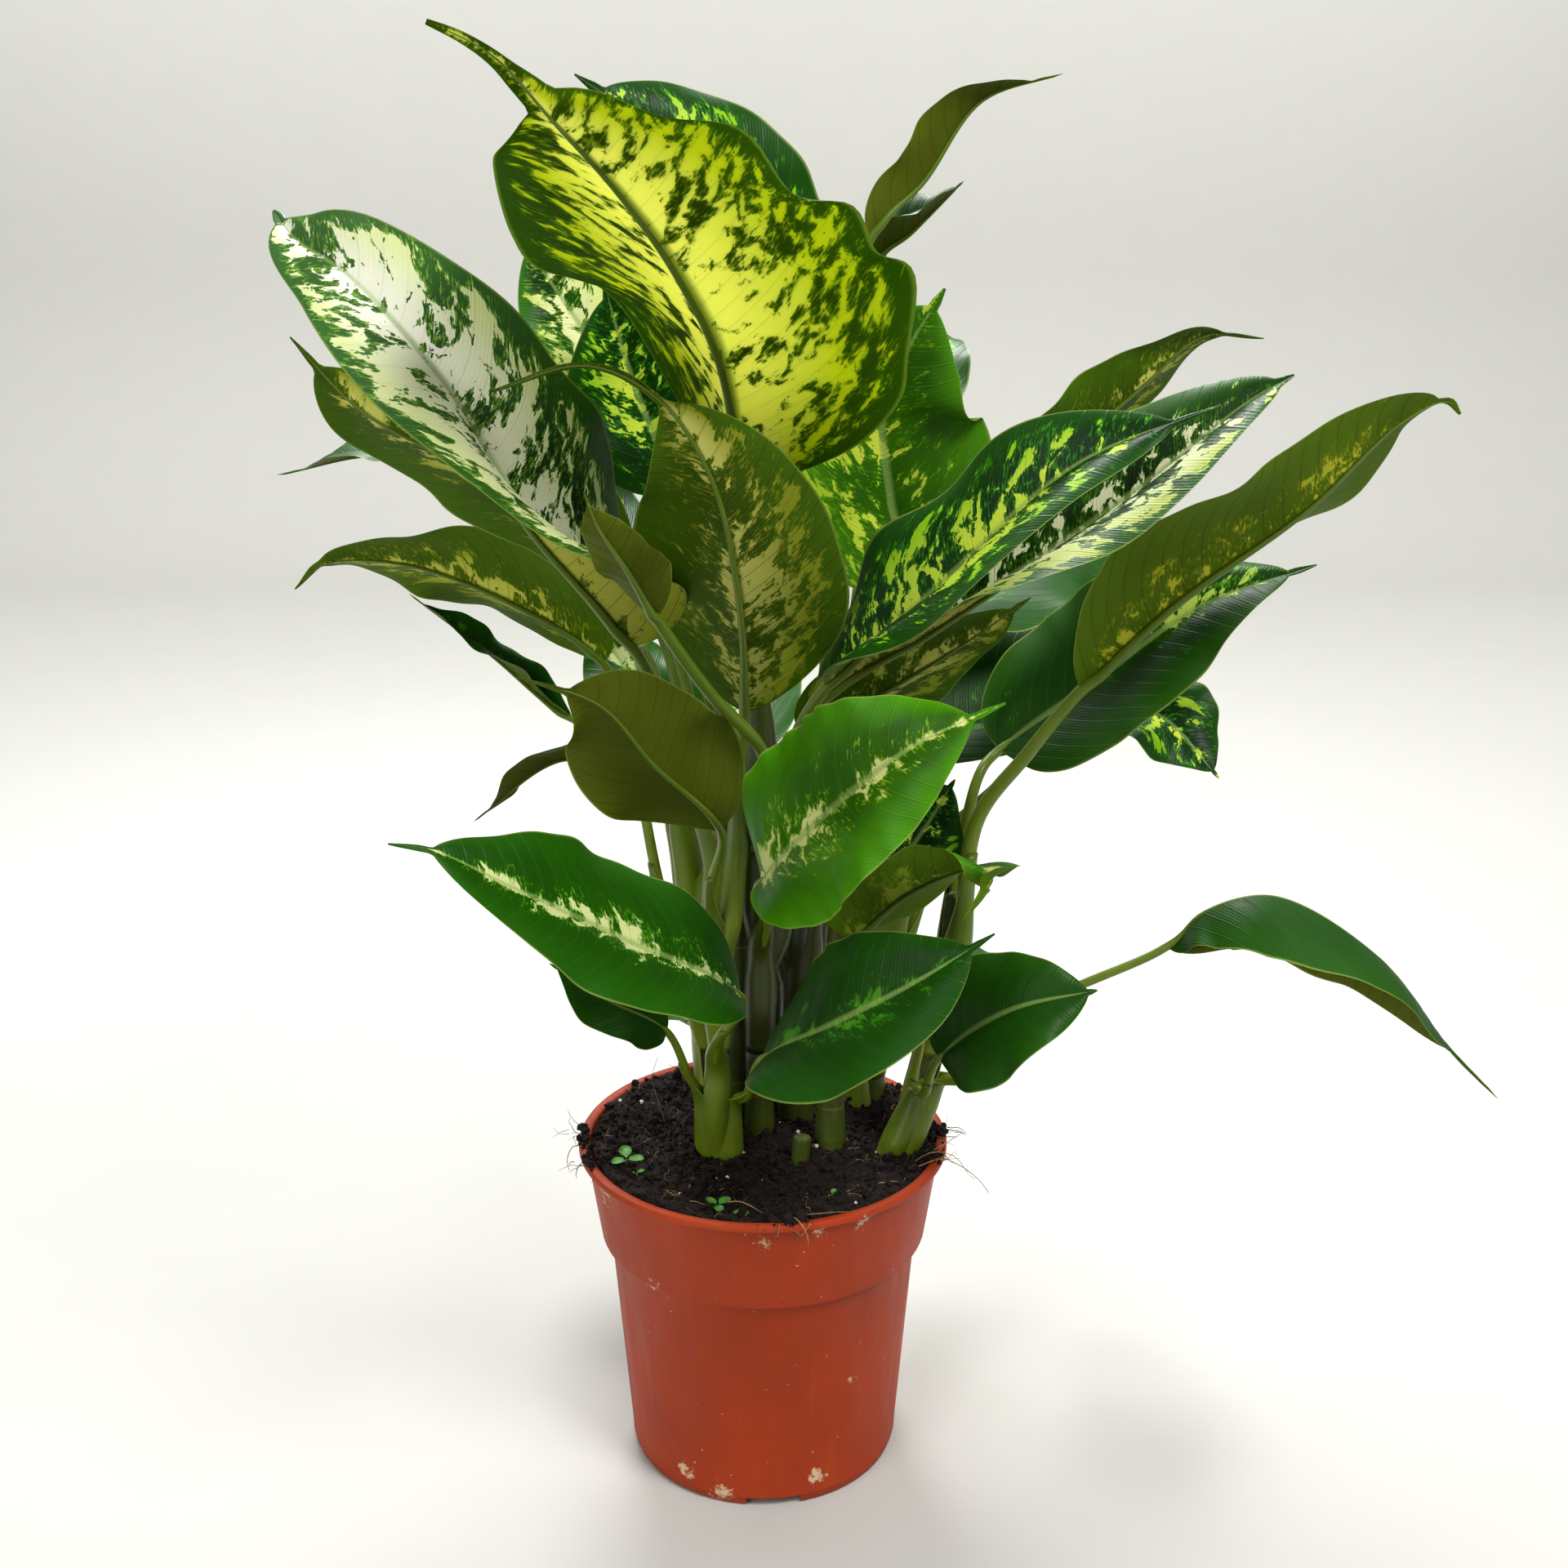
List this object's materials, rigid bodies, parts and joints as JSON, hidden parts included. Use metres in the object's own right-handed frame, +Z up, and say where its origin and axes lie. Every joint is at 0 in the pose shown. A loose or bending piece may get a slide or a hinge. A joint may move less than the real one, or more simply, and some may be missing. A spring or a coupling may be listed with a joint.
{
  "type": "potted dieffenbachia",
  "caption": "Bushy dieffenbachia with large cream-splashed leaves on fleshy green shoots, growing in a tapered terracotta-coloured plastic nursery pot filled with peat.",
  "frame": {"origin": "middle of the pot's underside, on the flat pad that the pot rests on", "axes": "+Z up out of the pot, -Y towards the viewer of the picture, +X to the viewer's right"},
  "size_m": [0.5424, 0.4938, 0.6195],
  "materials": {
    "pot_plastic": "moulded, satin",
    "peat": "loose, matte",
    "shoot_skin": "smooth, waxy",
    "leaf_skin": "smooth, waxy"
  },
  "bodies": {
    "root": {"pot": "pot_plastic", "soil": "peat", "stub": "shoot_skin", "shoot_front_left": "shoot_skin", "shoot_centre": "shoot_skin", "shoot_centre_left": "shoot_skin", "shoot_centre_back": "shoot_skin", "shoot_centre_right": "shoot_skin", "shoot_right": "shoot_skin", "shoot_back_left": "shoot_skin", "shoot_back_right": "shoot_skin", "shoot_back": "shoot_skin", "leaf_top_front": "leaf_skin", "leaf_top_back": "leaf_skin", "leaf_centre_under": "leaf_skin", "leaf_right_glossy": "leaf_skin", "leaf_left_slim": "leaf_skin", "leaf_left_high": "leaf_skin", "leaf_left_under": "leaf_skin", "leaf_left_level": "leaf_skin", "leaf_left_dark": "leaf_skin", "leaf_left_far": "leaf_skin", "leaf_left_curl": "leaf_skin", "leaf_left_low_tip": "leaf_skin", "leaf_left_low": "leaf_skin", "leaf_left_lowest": "leaf_skin", "leaf_centre_bright": "leaf_skin", "leaf_front_dark": "leaf_skin", "leaf_right_low": "leaf_skin", "leaf_centre_curl": "leaf_skin", "leaf_centre_shaded": "leaf_skin", "leaf_right_far_low": "leaf_skin", "leaf_right_under": "leaf_skin", "leaf_right_cream": "leaf_skin", "leaf_right_bright": "leaf_skin", "leaf_right_back": "leaf_skin", "leaf_right_far": "leaf_skin", "leaf_right_dark": "leaf_skin", "leaf_right_drop": "leaf_skin", "leaf_top_thin": "leaf_skin", "leaf_top_folded": "leaf_skin", "leaf_top_left": "leaf_skin", "leaf_top_left_inner": "leaf_skin", "leaf_back_high": "leaf_skin", "leaf_back_left_high": "leaf_skin", "leaf_back_right_high": "leaf_skin", "leaf_back_mid": "leaf_skin", "leaf_back_right_mid": "leaf_skin", "leaf_back_left_mid": "leaf_skin", "leaf_back_low": "leaf_skin", "leaf_back_upper_left": "leaf_skin", "leaf_back_upper_right": "leaf_skin", "leaf_back_low_left": "leaf_skin", "leaf_back_low_right": "leaf_skin"}
  },
  "joints": []
}
